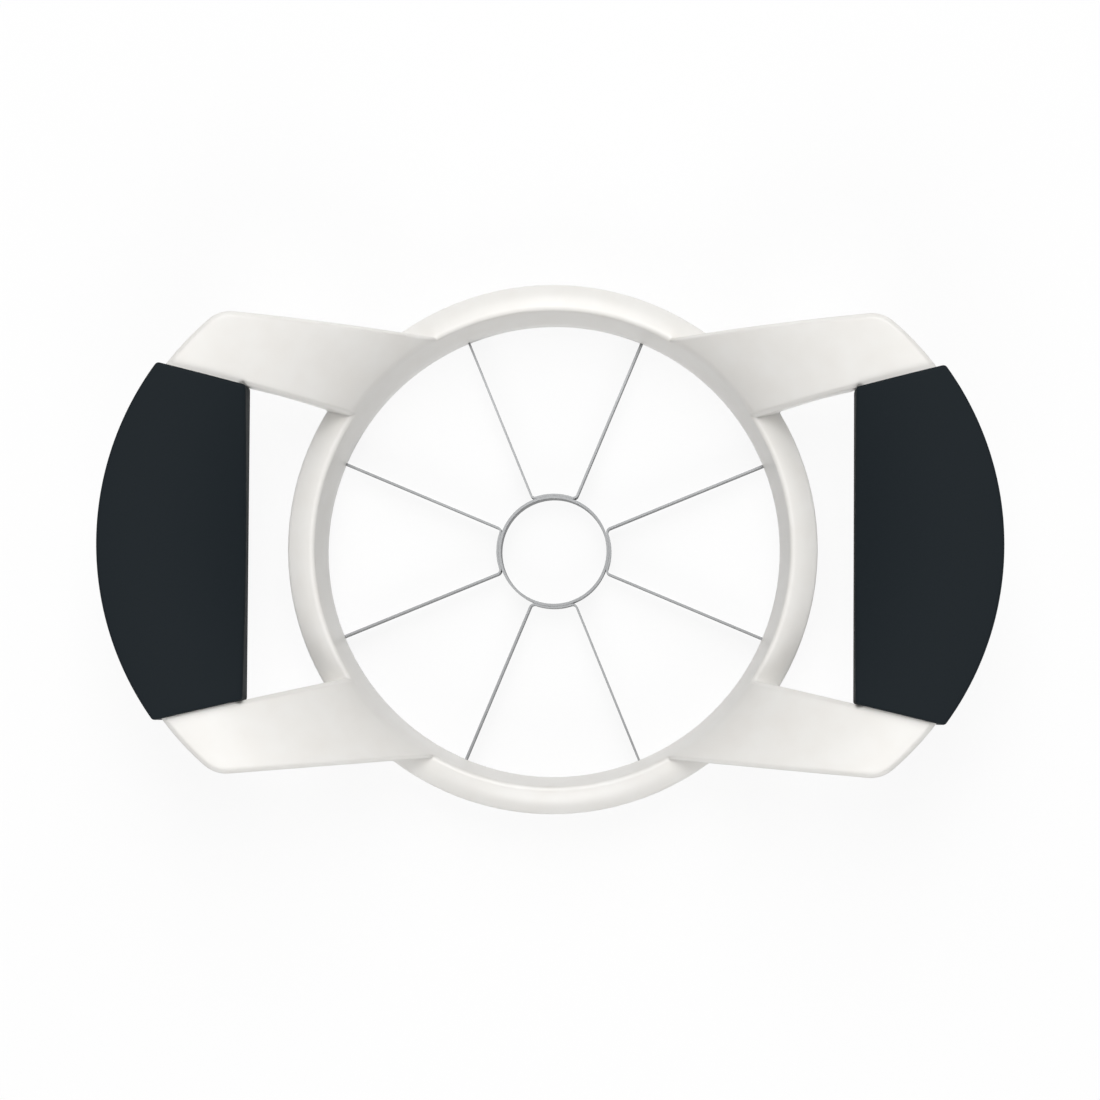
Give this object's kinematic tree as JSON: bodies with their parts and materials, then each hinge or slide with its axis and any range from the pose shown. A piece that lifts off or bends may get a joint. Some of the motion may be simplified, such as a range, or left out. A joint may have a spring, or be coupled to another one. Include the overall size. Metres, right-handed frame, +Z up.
{
  "type": "apple divider",
  "caption": "Push-down apple divider: a moulded ring holds radial blades and a central coring tube, with raised soft-grip handles at either side.",
  "frame": {"origin": "centre of the ring, on the plane that the ring stands on", "axes": "+X along the handles, +Y across them towards the back arms, +Z up along the coring tube"},
  "size_m": [0.1748, 0.1054, 0.0425],
  "materials": {
    "frame_plastic": "moulded satin white",
    "grip_rubber": "matte soft-touch black",
    "blade_steel": "rolled stainless strip"
  },
  "bodies": {
    "root": {"frame": "frame_plastic", "retaining_ring": "frame_plastic", "corer": "blade_steel", "blade_pair_right": "blade_steel", "blade_pair_back": "blade_steel", "blade_pair_left": "blade_steel", "blade_pair_front": "blade_steel", "grip_left": "grip_rubber", "grip_right": "grip_rubber"}
  },
  "joints": []
}
